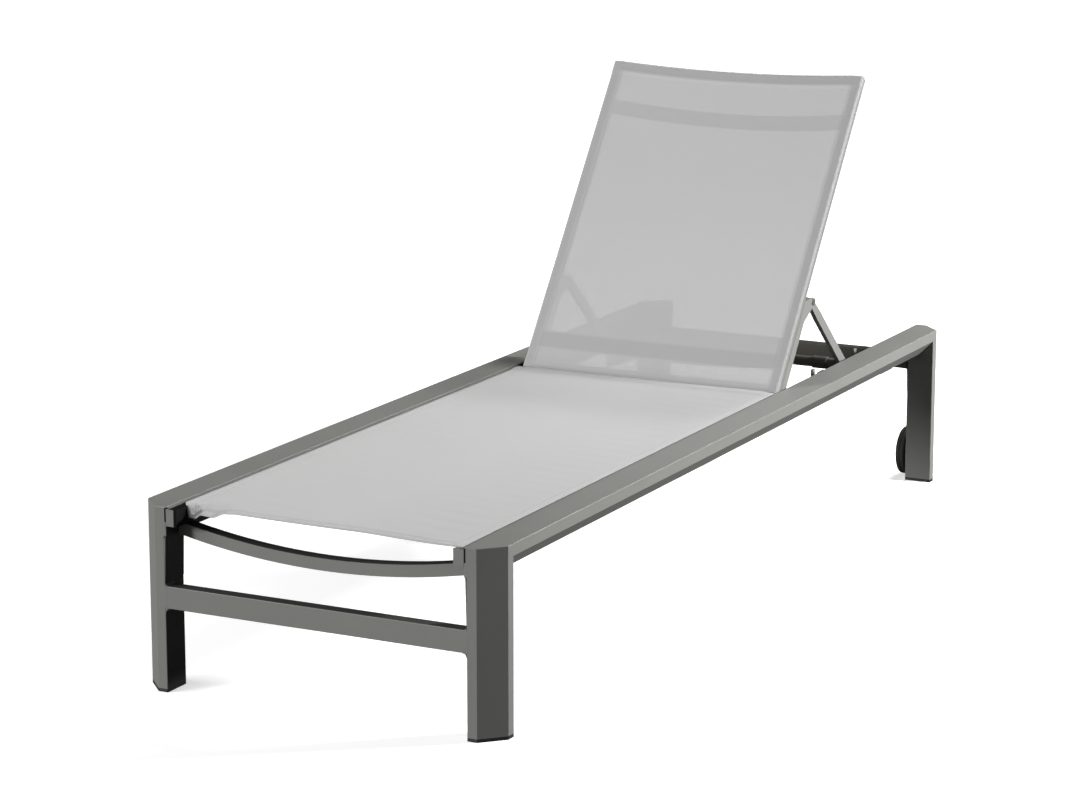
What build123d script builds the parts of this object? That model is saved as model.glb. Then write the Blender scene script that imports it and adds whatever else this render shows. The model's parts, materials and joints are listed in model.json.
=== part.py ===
"""Sun lounger: a low aluminium frame on four legs with two wheels, a sling seat and a sling back.

X runs across the lounger, +Y from the foot end to the head end, +Z up, all in millimetres.
The origin is on the ground, at the middle of the footprint with the wheels counted in.
"""
from build123d import *
import math
import os

# Whole frame
frame_length = 2000.0
frame_width = 680.0
frame_height = 322.0
tube_wall = 2.5
edge_round = 1.5

# Side rails, with a bevel along the lower outer edge and bevelled corners in plan
rail_width = 60.0
rail_depth = 50.0
rail_bevel = 29.5
corner_bevel_across = 37.0
corner_bevel_along = 38.0

# Legs and the glides plugged into them
leg_width = 55.5
leg_depth = 57.0
glide_height = 6.0
glide_plug_height = 14.0
glide_gap = 0.1

# Crossbars
crossbar_depth = 25.0
crossbar_wall = 2.0
front_crossbar_height = 39.0
front_crossbar_low = 146.5
rear_crossbar_height = 34.0

# Seat rails, extruded with a round channel for the edge cord of the sling
seat_rail_width = 19.0
seat_rail_height = 29.0
seat_rail_drop = 4.0
seat_rail_wall = 2.0
cap_thickness = 3.0
channel_radius = 2.8
slot_width = 2.4
seat_channel_inset = 6.0
seat_channel_depth = 6.5
seat_rail_rear_gap = 24.0

# Bowed spreaders under the seat and behind the back
seat_spreader_height = 21.0
spreader_width = 25.0
spreader_wall = 2.0
seat_spreader_sag = 29.5
front_spreader_from_foot = 38.0
rear_spreader_inset = 12.0
back_spreader_depth = 16.0
back_spreader_sag = 30.0
back_spreader_drop = 5.0
lower_spreader_inset = 70.0
upper_spreader_inset = 107.0

# Sling fabric and its edge cords
fabric_thickness = 0.9
fabric_gap = 0.3
cord_radius = 2.3
seat_fabric_from_foot = 26.0
seat_fabric_rear_inset = 5.0
back_fabric_start_inset = 2.0
back_fabric_end_inset = 1.0
back_fabric_hollow = 12.0

# Back frame; "along" runs up the back from the hinge line, "behind" is away from the sitter
back_angle = 53.6
hinge_from_foot = 1291.0
hinge_drop = 32.0
back_face_offset = 27.5
back_side_gap = 8.0
back_rail_width = 19.0
back_rail_depth = 17.0
back_rail_start = 5.0
back_rail_end = 706.0
back_rail_wall = 2.0
back_channel_inset = 5.0
back_channel_depth = 8.5
back_chamber_width = 8.0

# Support arms between the hinge and the prop, forked at the prop pivot
support_arm_width = 16.0
support_arm_depth = 21.0
lug_radius = 8.5
lug_reach = 51.0
fork_top_gap = 9.5

# Prop: two tapered arms joined by a round tube that carries two sleeves
prop_pivot_along = 236.0
prop_pivot_behind = 26.5
prop_slope = 41.5
prop_length = 241.0
prop_arm_thickness = 9.0
prop_arm_half_width = 10.0
prop_arm_tip_radius = 7.5
prop_taper_length = 55.0
prop_side_gap = 0.4
prop_turn_share = 1.879
prop_tube_radius = 10.5
prop_tube_wall = 2.0
sleeve_radius = 12.5
sleeve_length = 30.0
sleeve_from_rack = 10.0

# Racks: notched bent plates that the prop tube rests on
rack_inset = 54.0
rack_thickness = 4.0
rack_gap = 0.5
rack_step = 8.0
rack_steps = 4
notch_radius = 8.0
notch_depth = 12.0
nose_ahead = 70.0
nose_width = 12.0
nose_rise = 12.0
nose_relief = 20.0
nose_relief_depth = 10.0
rack_crest_lowered = 29.5
rack_ramp = 6.0
rack_stop_gap = 4.0
rack_stop_width = 13.0
rack_front_depth = 28.0
rack_rear_depth = 24.0
rack_flange_ahead = 30.0
rack_flange_lap = 26.0

# Pins, bolts and screws
running_gap = 0.05
side_play = 0.3
pivot_pin_radius = 4.0
pin_head_radius = 6.5
pin_head_height = 2.0
hinge_bolt_radius = 5.0
bolt_head_radius = 8.0
bolt_head_height = 5.0
hinge_spacer_radius = 10.0
nut_radius = 8.5
nut_height = 7.5
screw_radius = 2.0
screw_head_radius = 3.8
screw_head_height = 2.4
screw_bite = 6.0
seat_screw_height = 8.0
seat_screw_end_inset = 90.0
seat_screws_per_rail = 5
arm_screw_places = (40.0, 108.0, 176.0)
arm_screw_inset = 12.0
rack_screw_inset = 14.0
rack_screw_edge = 14.0

# Wheels behind the rear legs
wheel_radius = 50.0
wheel_ground_gap = 1.0
wheel_width = 20.0
wheel_side_gap = 6.5
tyre_thickness = 8.0
tyre_round = 5.0
tyre_groove = 1.2
rim_wall = 4.0
rim_web = 5.0
hub_radius = 12.0
spoke_window_radius = 8.0
spoke_windows = 6
axle_radius = 5.0
axle_head_radius = 8.0
axle_head_height = 4.0
bracket_thickness = 4.0
bracket_eye_radius = 12.0
bracket_height = 44.0
bracket_reach = 46.0
bracket_screw_inset = 12.0

# Places worked out from the sizes above
front_y = -(frame_length + wheel_radius) / 2
rear_y = front_y + frame_length
half_width = frame_width / 2
rail_inner = half_width - rail_width
rail_bottom = frame_height - rail_depth
leg_inner = half_width - leg_width
seat_rail_top = frame_height - seat_rail_drop
seat_rail_bottom = seat_rail_top - seat_rail_height
hinge_y = front_y + hinge_from_foot
hinge_z = frame_height - hinge_drop
seat_rail_end = hinge_y - seat_rail_rear_gap
back_half_width = rail_inner - back_side_gap
arm_outer = back_half_width
arm_inner = arm_outer - support_arm_width
prop_outer = (arm_outer + arm_inner + prop_arm_thickness) / 2
prop_inner = prop_outer - prop_arm_thickness
back_fabric_start = back_rail_start + back_fabric_start_inset
back_fabric_end = back_rail_end - back_fabric_end_inset
rack_centre = rail_inner - rack_inset
sleeve_centre = rack_centre - sleeve_from_rack
wheel_y = rear_y
wheel_z = wheel_radius + wheel_ground_gap
wheel_outer = leg_inner - wheel_side_gap
wheel_inner = wheel_outer - wheel_width
overrun = rail_width


def prism_x(face, low, high):
    """A face drawn in Y and Z, drawn out across the lounger."""
    return extrude(Plane.YZ.offset(low) * face, amount=high - low)


def prism_y(face, low, high):
    """A face drawn in X and Z, drawn out along the lounger."""
    return extrude(Plane.XZ.offset(-low) * face, amount=high - low, dir=(0, 1, 0))


def prism_z(face, low, high):
    """A face drawn in X and Y, drawn out upwards."""
    return extrude(Plane.XY.offset(low) * face, amount=high - low)


def outline(*points):
    return make_face(Polyline(*points, close=True))


def rounded(face, radius):
    return fillet(face.vertices(), radius)


def skin_or_bore(face, wall):
    """The face with its corners rounded, or with a wall given, drawn in by it."""
    if wall:
        return offset(face, amount=-wall, kind=Kind.INTERSECTION)
    return rounded(face, edge_round)


def block(x_range, y_range, z_range):
    """A box between two places on each axis."""
    sizes = [span[1] - span[0] for span in (x_range, y_range, z_range)]
    centre = [(span[1] + span[0]) / 2 for span in (x_range, y_range, z_range)]
    return Pos(*centre) * Box(*sizes)


def rod_x(radius, low, high, y, z):
    """A round bar across the lounger."""
    return prism_x(Pos(y, z) * Circle(radius), low, high)


def rod_z(radius, low, high, x, y):
    """A round bar standing up."""
    return prism_z(Pos(x, y) * Circle(radius), low, high)


def other_side(shape):
    return mirror(shape, about=Plane.YZ)


def both_sides(shape):
    return Compound(children=[*shape.solids(), *other_side(shape).solids()])


def raised(shape):
    """Turns a piece of the back, drawn lying flat, up to the angle of the back."""
    return shape.rotate(Axis((0, hinge_y, hinge_z), (1, 0, 0)), back_angle)


def along_back(along, behind):
    """The place in Y and Z of a point of the back lying flat."""
    return hinge_y + along, hinge_z - behind


def raised_place(along, behind, lowered=0):
    """The place in Y and Z of a point of the back, lowered by some degrees."""
    turn = math.radians(back_angle - lowered)
    y = hinge_y + along * math.cos(turn) + behind * math.sin(turn)
    z = hinge_z + along * math.sin(turn) - behind * math.cos(turn)
    return y, z


def tube_place(lowered):
    """The place of the prop's tube when the back is lowered by some degrees."""
    pivot_y, pivot_z = raised_place(prop_pivot_along, prop_pivot_behind, lowered)
    turn = math.radians((prop_turn_share - 1) * lowered - prop_slope)
    return pivot_y + prop_length * math.cos(turn), pivot_z + prop_length * math.sin(turn)


# Frame
def rail_section(wall):
    """The side rail's outline, or the space inside it when drawn in by a wall."""
    section = outline(
        (rail_inner, frame_height),
        (half_width, frame_height),
        (half_width, rail_bottom + rail_bevel),
        (half_width - rail_bevel, rail_bottom),
        (rail_inner, rail_bottom))
    return offset(section, amount=-wall, kind=Kind.INTERSECTION) if wall else section


def corner_wedge(end, way, wall):
    """What the bevel takes off an outer corner in plan, moved in by a wall."""
    across, along = corner_bevel_across, way * corner_bevel_along
    slope = math.hypot(across, along)
    wedge = outline(
        (half_width - across * 2, end - along),
        (half_width + across, end + along * 2),
        (half_width + across, end - along))
    inwards = Pos(-wall * corner_bevel_along / slope, way * wall * across / slope)
    return prism_z(inwards * wedge, rail_bottom - overrun, frame_height + overrun)


def rail_envelope(wall):
    """The side rail as a solid bar, or the space inside it when drawn in by a wall."""
    bar = prism_y(rail_section(wall), front_y + wall, rear_y - wall)
    bar -= corner_wedge(front_y, 1, wall)
    bar -= corner_wedge(rear_y, -1, wall)
    if wall:
        return bar
    upper = [edge for edge in bar.edges() if edge.center().Z > rail_bottom + rail_bevel * 0.6]
    return fillet(upper, edge_round)


def make_side_rail():
    rail = rail_envelope(0) - rail_envelope(tube_wall)
    rail -= rod_x(hinge_bolt_radius + running_gap, rail_inner - overrun, rail_inner + tube_wall * 2,
                  hinge_y, hinge_z)
    for y in seat_screw_places():
        rail -= rod_x(screw_radius + running_gap, rail_inner - overrun, rail_inner + tube_wall * 2,
                      y, seat_rail_bottom + seat_screw_height)
    for y in rack_screw_places():
        rail -= rod_z(screw_radius + running_gap, rail_bottom - overrun, rail_bottom + tube_wall * 2,
                      rack_screw_x(), y)
    return rail


def leg_plan(bevel_at_front, wall):
    """The leg's outline in plan, for the foot end or turned for the head end."""
    front = front_y if bevel_at_front else rear_y
    way = 1 if bevel_at_front else -1
    return skin_or_bore(outline(
        (leg_inner, front),
        (half_width - corner_bevel_across, front),
        (half_width, front + way * corner_bevel_along),
        (half_width, front + way * leg_depth),
        (leg_inner, front + way * leg_depth)), wall)


def make_leg(bevel_at_front):
    """A hollow leg, coped to the underside of the side rail."""
    leg = prism_z(leg_plan(bevel_at_front, 0), glide_height, frame_height)
    leg -= prism_z(leg_plan(bevel_at_front, tube_wall), 0, frame_height)
    leg -= block((rail_inner, half_width + overrun), (front_y - overrun, rear_y + overrun),
                 (frame_height - rail_depth + rail_bevel, frame_height + overrun))
    leg = (leg - rail_envelope(0)).solids().sort_by(SortBy.VOLUME)[-1]
    if not bevel_at_front:
        for z in bracket_screw_heights():
            leg -= rod_x(screw_radius + running_gap, leg_inner - overrun, leg_inner + tube_wall * 2,
                         bracket_screw_y(), z)
    return leg


def make_glide(bevel_at_front):
    """A foot plate as large as the leg, with a plug up into it."""
    plug = leg_plan(bevel_at_front, tube_wall + glide_gap)
    flange = prism_z(leg_plan(bevel_at_front, 0), 0, glide_height)
    return flange + prism_z(plug, glide_height, glide_height + glide_plug_height)


def make_glides():
    pair = Compound(children=[make_glide(True), make_glide(False)])
    return both_sides(pair)


def box_tube(y_low, z_low, height):
    """A crossbar between the legs."""
    centre = Pos(y_low + crossbar_depth / 2, z_low + height / 2)
    section = rounded(centre * Rectangle(crossbar_depth, height), edge_round)
    bore = centre * Rectangle(crossbar_depth - crossbar_wall * 2, height - crossbar_wall * 2)
    return prism_x(section - bore, -leg_inner, leg_inner)


def make_front_crossbar():
    return box_tube(front_y, front_crossbar_low, front_crossbar_height)


def make_rear_crossbar():
    return box_tube(rear_y - leg_depth, rail_bottom - rear_crossbar_height, rear_crossbar_height)


# Seat
def seat_screw_places():
    first = front_y + seat_screw_end_inset
    pitch = (seat_rail_end - seat_screw_end_inset - first) / (seat_screws_per_rail - 1)
    return [first + pitch * count for count in range(seat_screws_per_rail)]


def seat_channel():
    return rail_inner - seat_channel_inset, seat_rail_top - seat_channel_depth


def seat_rail_section():
    """The sling rail: a box chamber below and a round channel that opens upwards."""
    inner, outer = rail_inner - seat_rail_width, rail_inner
    shape = Pos((inner + outer) / 2, (seat_rail_top + seat_rail_bottom) / 2)
    section = shape * Rectangle(seat_rail_width, seat_rail_height)
    corners = section.vertices().sort_by(Axis.X)[:2]
    section = fillet(corners, edge_round)
    channel_x, channel_z = seat_channel()
    chamber_top = channel_z - channel_radius - seat_rail_wall
    chamber_bottom = seat_rail_bottom + seat_rail_wall
    chamber = Pos((inner + outer) / 2, (chamber_top + chamber_bottom) / 2) * Rectangle(
        seat_rail_width - seat_rail_wall * 2, chamber_top - chamber_bottom)
    channel = Pos(channel_x, channel_z) * Circle(channel_radius)
    slot = Pos(channel_x, (channel_z + seat_rail_top + fabric_gap) / 2) * Rectangle(
        slot_width, seat_rail_top + fabric_gap - channel_z)
    return section - chamber - channel - slot


def make_seat_rail():
    rail = prism_y(seat_rail_section(), front_y + cap_thickness, seat_rail_end - cap_thickness)
    for y in seat_screw_places():
        rail -= rod_x(screw_radius + running_gap, rail_inner - seat_rail_width - overrun,
                      rail_inner + overrun, y, seat_rail_bottom + seat_screw_height)
    return rail


def make_seat_rail_caps():
    """Flat plates over both ends of the seat rails."""
    span = (rail_inner - seat_rail_width, rail_inner)
    height = (seat_rail_bottom, seat_rail_top)
    foot = block(span, (front_y, front_y + cap_thickness), height)
    head = block(span, (seat_rail_end - cap_thickness, seat_rail_end), height)
    return both_sides(Compound(children=[foot, head]))


def make_seat_screws():
    inner = rail_inner - seat_rail_width
    height = seat_rail_bottom + seat_screw_height
    screws = []
    for y in seat_screw_places():
        head = rod_x(screw_head_radius, inner - screw_head_height, inner, y, height)
        screws.append(head + rod_x(screw_radius, inner, rail_inner + screw_bite, y, height))
    return both_sides(Compound(children=screws))


def bowed_band(half_span, sag, depth, top):
    """A band in X and Z that hangs by its ends, with its upper edge at a height there."""
    radius = (half_span ** 2 + sag ** 2) / (2 * sag)
    upper = radius - depth
    centre_z = top + math.sqrt(upper ** 2 - half_span ** 2)
    ring = Circle(radius) - Circle(upper)
    low = Pos(0, -radius) * Rectangle(half_span * 2, radius * 2)
    return Pos(0, centre_z) * (ring & low)


def bowed_tube(half_span, sag, depth, top, y_low):
    """A rectangular tube along such a band, open at its ends."""
    skin = prism_y(bowed_band(half_span, sag, depth, top), y_low, y_low + spreader_width)
    bore_band = Pos(0, -spreader_wall) * bowed_band(half_span, sag, depth - spreader_wall * 2, top)
    bore = prism_y(bore_band, y_low + spreader_wall, y_low + spreader_width - spreader_wall)
    return (skin - bore).solids().sort_by(SortBy.VOLUME)[-1]


def make_front_seat_spreader():
    return bowed_tube(rail_inner, seat_spreader_sag, seat_spreader_height, seat_rail_bottom,
                      front_y + front_spreader_from_foot)


def make_rear_seat_spreader():
    return bowed_tube(rail_inner, seat_spreader_sag, seat_spreader_height, seat_rail_bottom,
                      seat_rail_end - rear_spreader_inset - spreader_width)


def make_seat_fabric():
    """The sling over the seat rails, its edges turned down into their channels."""
    channel_x, channel_z = seat_channel()
    low = seat_rail_top + fabric_gap
    top = low + fabric_thickness
    end = channel_z + cord_radius
    out = channel_x + fabric_thickness / 2
    turn = channel_x - fabric_thickness / 2
    right = [(out, top), (out, end), (turn, end), (turn, low)]
    left = [(-x, z) for x, z in reversed(right)]
    section = outline(*right, *left)
    return prism_y(section, front_y + seat_fabric_from_foot, seat_rail_end - seat_fabric_rear_inset)


def make_seat_cords():
    channel_x, channel_z = seat_channel()
    cord = prism_y(Pos(channel_x, channel_z) * Circle(cord_radius),
                   front_y + seat_fabric_from_foot, seat_rail_end - seat_fabric_rear_inset)
    return both_sides(cord)


# Back, drawn lying flat at the hinge and then raised
def back_front():
    return hinge_z + back_face_offset


def back_channel():
    return back_half_width - back_channel_inset, back_front() - back_channel_depth


def back_rail_section():
    """The back's sling rail: a chamber inside and a channel that opens to the side."""
    inner, outer = back_half_width - back_rail_width, back_half_width
    middle_z = back_front() - back_rail_depth / 2
    section = Pos((inner + outer) / 2, middle_z) * Rectangle(back_rail_width, back_rail_depth)
    section = fillet(section.vertices(), edge_round)
    channel_x, channel_z = back_channel()
    chamber = Pos(inner + back_rail_wall + back_chamber_width / 2, middle_z) * Rectangle(
        back_chamber_width, back_rail_depth - back_rail_wall * 2)
    channel = Pos(channel_x, channel_z) * Circle(channel_radius)
    slot = Pos((channel_x + outer + fabric_gap) / 2, channel_z) * Rectangle(
        outer + fabric_gap - channel_x, slot_width)
    return section - chamber - channel - slot


def arm_screw_x():
    return back_half_width - arm_screw_inset


def make_back_rail():
    rail = prism_y(back_rail_section(), hinge_y + back_rail_start, hinge_y + back_rail_end)
    for along in arm_screw_places:
        rail -= rod_z(screw_radius + running_gap, hinge_z, back_front() - back_rail_depth / 2,
                      arm_screw_x(), hinge_y + along)
    return raised(rail)


def make_back_caps():
    span = (back_half_width - back_rail_width, back_half_width)
    height = (back_front() - back_rail_depth, back_front())
    low = block(span, (hinge_y + back_rail_start - cap_thickness, hinge_y + back_rail_start), height)
    high = block(span, (hinge_y + back_rail_end, hinge_y + back_rail_end + cap_thickness), height)
    return both_sides(raised(Compound(children=[low, high])))


def make_back_spreader(along):
    return raised(bowed_tube(back_half_width - back_rail_width, back_spreader_sag, back_spreader_depth,
                             back_front() - back_spreader_drop, hinge_y + along))


def make_back_fabric():
    """The back's sling, wrapped round the rails into their channels, its top edge drawn in."""
    channel_x, channel_z = back_channel()
    low = back_front() + fabric_gap
    top = low + fabric_thickness
    wrap_in = back_half_width + fabric_gap
    wrap_out = wrap_in + fabric_thickness
    tuck_low = channel_z - fabric_thickness / 2
    tuck_top = channel_z + fabric_thickness / 2
    end = channel_x + cord_radius
    right = [(wrap_out, top), (wrap_out, tuck_low), (end, tuck_low), (end, tuck_top),
             (wrap_in, tuck_top), (wrap_in, low)]
    left = [(-x, z) for x, z in reversed(right)]
    sheet = prism_y(outline(*right, *left), hinge_y + back_fabric_start, hinge_y + back_fabric_end)
    half = back_half_width - back_rail_width
    radius = (half ** 2 + back_fabric_hollow ** 2) / (2 * back_fabric_hollow)
    centre_y = hinge_y + back_fabric_end - back_fabric_hollow + radius
    sheet -= rod_z(radius, low - fabric_gap / 2, top + overrun, 0, centre_y)
    return raised(sheet)


def make_back_cords():
    channel_x, channel_z = back_channel()
    cord = prism_y(Pos(channel_x, channel_z) * Circle(cord_radius),
                   hinge_y + back_fabric_start, hinge_y + back_fabric_end)
    return both_sides(raised(cord))


def make_support_arm():
    """A bar from the hinge to the prop, level at its top end and forked behind it."""
    half = support_arm_depth / 2
    lean = math.radians(back_angle)
    top_along = prop_pivot_along + (lug_radius - (half + prop_pivot_behind) * math.cos(lean)) / math.sin(lean)
    pivot = along_back(prop_pivot_along, prop_pivot_behind)
    root_along = prop_pivot_along - lug_reach
    drop = prop_pivot_behind - half
    reach = math.hypot(lug_reach, drop)
    top_tangent = (pivot[0] + lug_radius * math.sin(lean), pivot[1] + lug_radius * math.cos(lean))
    low_tangent = (pivot[0] - lug_radius * drop / reach, pivot[1] - lug_radius * lug_reach / reach)
    side = outline(along_back(0, -half), along_back(top_along, -half), top_tangent, low_tangent,
                   along_back(root_along, half), along_back(0, half))
    side += Pos(*along_back(0, 0)) * Circle(half)
    side += Pos(*pivot) * Circle(lug_radius)
    arm = prism_x(side, arm_inner, arm_outer)
    arm -= block((prop_inner - prop_side_gap, prop_outer + prop_side_gap),
                 (pivot[0] - lug_reach, pivot[0] + overrun),
                 (pivot[1] - overrun, pivot[1] + fork_top_gap))
    arm -= rod_x(hinge_bolt_radius + running_gap, arm_inner - overrun, arm_outer + overrun, *along_back(0, 0))
    arm -= rod_x(pivot_pin_radius + running_gap, arm_inner - overrun, arm_outer + overrun, *pivot)
    for along in arm_screw_places:
        arm -= rod_z(screw_radius + running_gap, hinge_z - overrun, hinge_z + overrun,
                     arm_screw_x(), hinge_y + along)
    return raised(arm)


def make_arm_screws():
    rear = hinge_z - support_arm_depth / 2
    screws = []
    for along in arm_screw_places:
        head = rod_z(screw_head_radius, rear - screw_head_height, rear, arm_screw_x(), hinge_y + along)
        shank = rod_z(screw_radius, rear, hinge_z + support_arm_depth / 2 + screw_bite - back_rail_wall,
                      arm_screw_x(), hinge_y + along)
        screws.append(head + shank)
    return both_sides(raised(Compound(children=screws)))


def make_pivot_pins():
    y, z = raised_place(prop_pivot_along, prop_pivot_behind)
    pin = rod_x(pivot_pin_radius, arm_inner, arm_outer, y, z)
    pin += rod_x(pin_head_radius, arm_outer, arm_outer + pin_head_height, y, z)
    pin += rod_x(pin_head_radius, arm_inner - pin_head_height, arm_inner, y, z)
    return both_sides(pin)


# Hinge between the frame and the back
def make_hinge_bolts():
    head = arm_inner - side_play
    bolt = rod_x(bolt_head_radius, head - bolt_head_height, head, hinge_y, hinge_z)
    bolt += rod_x(hinge_bolt_radius, head, rail_inner + tube_wall + nut_height, hinge_y, hinge_z)
    return both_sides(bolt)


def make_hinge_spacers():
    spacer = rod_x(hinge_spacer_radius, arm_outer + side_play, rail_inner, hinge_y, hinge_z)
    spacer -= rod_x(hinge_bolt_radius + running_gap, arm_outer, rail_inner + overrun, hinge_y, hinge_z)
    return both_sides(spacer)


def make_hinge_nuts():
    start = rail_inner + tube_wall
    nut = prism_x(Pos(hinge_y, hinge_z) * RegularPolygon(nut_radius, 6), start, start + nut_height)
    nut -= rod_x(hinge_bolt_radius + running_gap, rail_inner, start + nut_height + overrun, hinge_y, hinge_z)
    return both_sides(nut)


# Prop
def make_prop_arm():
    """A flat bar that tapers to its pivot, drawn level and then sloped down to the rack."""
    y, z = raised_place(prop_pivot_along, prop_pivot_behind)
    body = outline(
        (y, z + prop_arm_tip_radius),
        (y + prop_taper_length, z + prop_arm_half_width),
        (y + prop_length, z + prop_arm_half_width),
        (y + prop_length, z - prop_arm_half_width),
        (y + prop_taper_length, z - prop_arm_half_width),
        (y, z - prop_arm_tip_radius))
    body += Pos(y, z) * Circle(prop_arm_tip_radius)
    body += Pos(y + prop_length, z) * Circle(prop_arm_half_width)
    arm = prism_x(body, prop_inner, prop_outer)
    arm -= rod_x(pivot_pin_radius + running_gap, prop_inner - overrun, prop_outer + overrun, y, z)
    return arm.rotate(Axis((0, y, z), (1, 0, 0)), -prop_slope)


def make_prop_tube():
    y, z = tube_place(0)
    tube = rod_x(prop_tube_radius, -prop_inner, prop_inner, y, z)
    return tube - rod_x(prop_tube_radius - prop_tube_wall, -prop_inner, prop_inner, y, z)


def make_sleeves():
    y, z = tube_place(0)
    low, high = sleeve_centre - sleeve_length / 2, sleeve_centre + sleeve_length / 2
    sleeve = rod_x(sleeve_radius, low, high, y, z)
    sleeve -= rod_x(prop_tube_radius + running_gap, low, high, y, z)
    return both_sides(sleeve)


# Racks
def rest_level(lowered):
    """Where the rack's edge lies under the sleeve when the back is lowered by some degrees."""
    y, z = tube_place(lowered)
    return y, z - sleeve_radius - rack_gap


def rack_notches():
    return [rest_level(rack_step * count) for count in range(rack_steps)]


def rack_rear():
    """The rear end of the rack, past the tube when the back lies flat."""
    return rest_level(back_angle)[0] + sleeve_radius + rack_stop_gap + rack_stop_width


def rack_outline():
    notches = rack_notches()
    front = notches[0][0] - nose_ahead
    first, crest = notches[0], rest_level(rack_crest_lowered)
    flat_y, flat_z = rest_level(back_angle)
    stop = flat_y + sleeve_radius + rack_stop_gap
    top = first[1] + nose_rise
    points = [(front, first[1] - rack_front_depth), (front, top), (front + nose_width, top)]
    relief = first[1] - nose_relief_depth
    points += [(front + nose_width, relief), (front + nose_width + nose_relief, relief)]
    points += [(front + nose_width + nose_relief, first[1])]
    points += [*notches, crest, (crest[0] + rack_ramp, flat_z)]
    points += [(stop, flat_z), (stop, top), (rack_rear(), top), (rack_rear(), flat_z - rack_rear_depth)]
    plate = outline(*points)
    for y, z in notches:
        floor = z - notch_depth + notch_radius
        plate -= Pos(y, floor) * Circle(notch_radius)
        plate -= Pos(y, floor + notch_depth / 2) * Rectangle(notch_radius * 2, notch_depth)
    return plate


def rack_flange_start():
    return rest_level(back_angle)[0] - rack_flange_ahead


def rack_screw_places():
    return rack_flange_start() + rack_screw_edge, rack_rear() - rack_screw_edge


def rack_screw_x():
    return rail_inner + rack_screw_inset


def make_rack():
    """A notched web, bent over to a flange under the side rail."""
    inner, outer = rack_centre - rack_thickness / 2, rack_centre + rack_thickness / 2
    rack = prism_x(rack_outline(), inner, outer)
    rack += block((inner, rail_inner + rack_flange_lap), (rack_flange_start(), rack_rear()),
                  (rail_bottom - rack_thickness, rail_bottom))
    for y in rack_screw_places():
        rack -= rod_z(screw_radius + running_gap, rail_bottom - overrun, rail_bottom + overrun,
                      rack_screw_x(), y)
    return rack


def make_rack_screws():
    screws = []
    low = rail_bottom - rack_thickness
    for y in rack_screw_places():
        head = rod_z(screw_head_radius, low - screw_head_height, low, rack_screw_x(), y)
        screws.append(head + rod_z(screw_radius, low, rail_bottom + screw_bite, rack_screw_x(), y))
    return both_sides(Compound(children=screws))


# Wheels
def bracket_screw_y():
    return rear_y - bracket_reach + bracket_screw_inset


def bracket_screw_heights():
    shift = bracket_height / 2 - bracket_screw_inset
    return wheel_z - shift, wheel_z + shift


def make_wheel_bracket():
    """A plate on the inner face of the rear leg, with an eye for the axle."""
    half = bracket_height / 2
    plate = outline(
        (rear_y - bracket_reach, wheel_z - half),
        (rear_y - bracket_eye_radius, wheel_z - half),
        (wheel_y, wheel_z - bracket_eye_radius),
        (wheel_y, wheel_z + bracket_eye_radius),
        (rear_y - bracket_eye_radius, wheel_z + half),
        (rear_y - bracket_reach, wheel_z + half))
    plate += Pos(wheel_y, wheel_z) * Circle(bracket_eye_radius)
    bracket = prism_x(plate, leg_inner - bracket_thickness, leg_inner)
    bracket -= rod_x(axle_radius + running_gap, wheel_inner, leg_inner + overrun, wheel_y, wheel_z)
    for z in bracket_screw_heights():
        bracket -= rod_x(screw_radius + running_gap, wheel_inner, leg_inner + overrun, bracket_screw_y(), z)
    return bracket


def make_bracket_screws():
    face = leg_inner - bracket_thickness
    screws = []
    for z in bracket_screw_heights():
        head = rod_x(screw_head_radius, face - screw_head_height / 2, face, bracket_screw_y(), z)
        screws.append(head + rod_x(screw_radius, face, leg_inner + screw_bite, bracket_screw_y(), z))
    return both_sides(Compound(children=screws))


def make_axles():
    head = wheel_inner - side_play
    axle = rod_x(axle_head_radius, head - axle_head_height, head, wheel_y, wheel_z)
    axle += rod_x(axle_radius, head, leg_inner, wheel_y, wheel_z)
    return both_sides(axle)


def make_washers():
    low, high = wheel_outer + side_play, leg_inner - bracket_thickness
    washer = rod_x(axle_head_radius, low, high, wheel_y, wheel_z)
    washer -= rod_x(axle_radius + running_gap, low - overrun, high + overrun, wheel_y, wheel_z)
    return both_sides(washer)


def rim_radius():
    return wheel_radius - tyre_thickness


def make_rim():
    """Hub, pierced web and outer ring in one moulding."""
    middle = (wheel_inner + wheel_outer) / 2
    ring = rod_x(rim_radius(), wheel_inner + rim_wall / 2, wheel_outer - rim_wall / 2, wheel_y, wheel_z)
    ring -= rod_x(rim_radius() - rim_wall, wheel_inner, wheel_outer, wheel_y, wheel_z)
    web = rod_x(rim_radius() - rim_wall / 2, middle - rim_web / 2, middle + rim_web / 2, wheel_y, wheel_z)
    centre_radius = (rim_radius() - rim_wall + hub_radius) / 2
    for count in range(spoke_windows):
        turn = math.tau * count / spoke_windows
        web -= rod_x(spoke_window_radius, wheel_inner, wheel_outer,
                     wheel_y + centre_radius * math.cos(turn), wheel_z + centre_radius * math.sin(turn))
    hub = rod_x(hub_radius, wheel_inner, wheel_outer, wheel_y, wheel_z)
    rim = ring + web + hub
    return rim - rod_x(axle_radius + running_gap, wheel_inner - overrun, wheel_outer + overrun,
                       wheel_y, wheel_z)


def make_tyre():
    """A round-shouldered tyre with a groove round the middle of its tread."""
    low, high = wheel_inner, wheel_outer
    middle = (low + high) / 2
    base = rim_radius()
    section = outline((low, base), (high, base), (high, wheel_radius), (low, wheel_radius))
    shoulders = section.vertices().sort_by(Axis.Y)[-2:]
    section = fillet(shoulders, tyre_round)
    section -= Pos(middle, wheel_radius) * Circle(tyre_groove)
    tyre = revolve(section, Axis.X)
    return Pos(0, wheel_y, wheel_z) * tyre


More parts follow.
